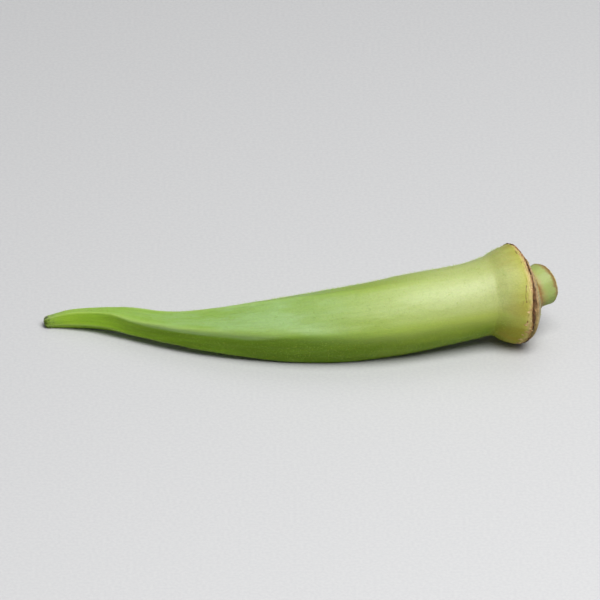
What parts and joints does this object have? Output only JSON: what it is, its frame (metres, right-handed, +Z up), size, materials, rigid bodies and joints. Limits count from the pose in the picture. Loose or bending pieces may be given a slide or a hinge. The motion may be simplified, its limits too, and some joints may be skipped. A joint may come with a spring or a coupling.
{
  "type": "okra pod",
  "caption": "Curved, ribbed okra pod lying on its side, with a flared cap end, the corky scar ring of the fallen calyx, a short cut stem and a slender beak.",
  "frame": {"origin": "centre of the bounding box seen from above, on the surface that the pod rests on", "axes": "+X along the pod towards the cut stem, the beak's tip is towards -X; +Y towards the inside of the pod's bend, its outer side is towards -Y; +Z up from the surface"},
  "size_m": [0.1034, 0.024, 0.0196],
  "materials": {
    "pod_skin": "satin green plant skin with fine down, pale at the cap, corky tan at the scar ring"
  },
  "bodies": {
    "root": {"okra_pod": "pod_skin"}
  },
  "joints": []
}
